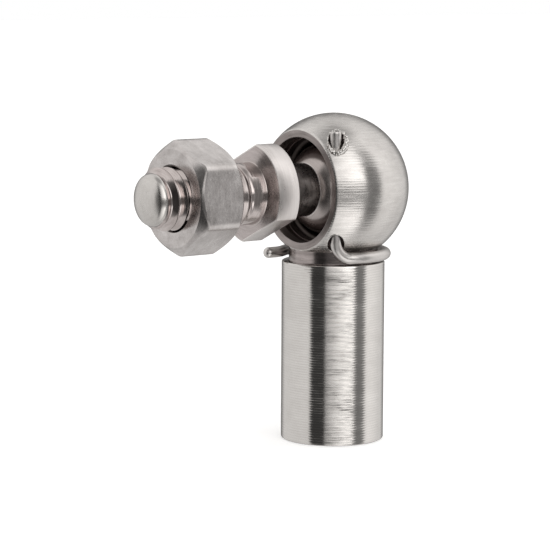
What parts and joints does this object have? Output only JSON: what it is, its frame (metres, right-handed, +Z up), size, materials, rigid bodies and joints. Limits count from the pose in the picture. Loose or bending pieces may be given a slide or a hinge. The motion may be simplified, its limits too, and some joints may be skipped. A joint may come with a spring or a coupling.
{
  "type": "angle ball joint",
  "caption": "Steel angle ball joint: ball stud with threaded end and hex nut, held in a round socket on a threaded shank by a snap ring and a wire safety clip.",
  "frame": {"origin": "centre of the shank's end face, at the mouth of the rod thread", "axes": "+Z up the shank to the ball, -X along the stud to its threaded end, -Y towards the straight leg of the safety clip"},
  "size_m": [0.0304, 0.0148, 0.0324],
  "materials": {
    "turned_steel": "turned",
    "stud_steel": "turned",
    "nut_steel": "matte",
    "clip_wire": "drawn",
    "spring_steel": "drawn"
  },
  "bodies": {
    "socket": {"ball_socket": "turned_steel"},
    "retaining_ring": {"snap_ring": "spring_steel"},
    "stud": {"ball_stud": "stud_steel"},
    "nut": {"hex_nut": "nut_steel"},
    "clip": {"safety_clip": "clip_wire"}
  },
  "joints": [
    {"name": "stud_swivel", "type": "hinge", "parent": "socket", "child": "retaining_ring", "pos_m": [0.0005, 0, 0.025], "axis": [-1, 0, 0], "continuous": true},
    {"name": "stud_tilt", "type": "hinge", "parent": "retaining_ring", "child": "stud", "pos_m": [0.0005, 0, 0.025], "axis": [0, 1, 0], "range_deg": [-15, 15]},
    {"name": "nut_turn", "type": "hinge", "parent": "stud", "child": "nut", "pos_m": [-0.017, 0, 0.025], "axis": [-1, 0, 0], "continuous": true},
    {"name": "clip_swing", "type": "hinge", "parent": "socket", "child": "clip", "pos_m": [-0.0032, -0.00435, 0.025], "axis": [0, 0, -1], "range_deg": [0, 100], "deforming": ["safety_clip"]}
  ]
}
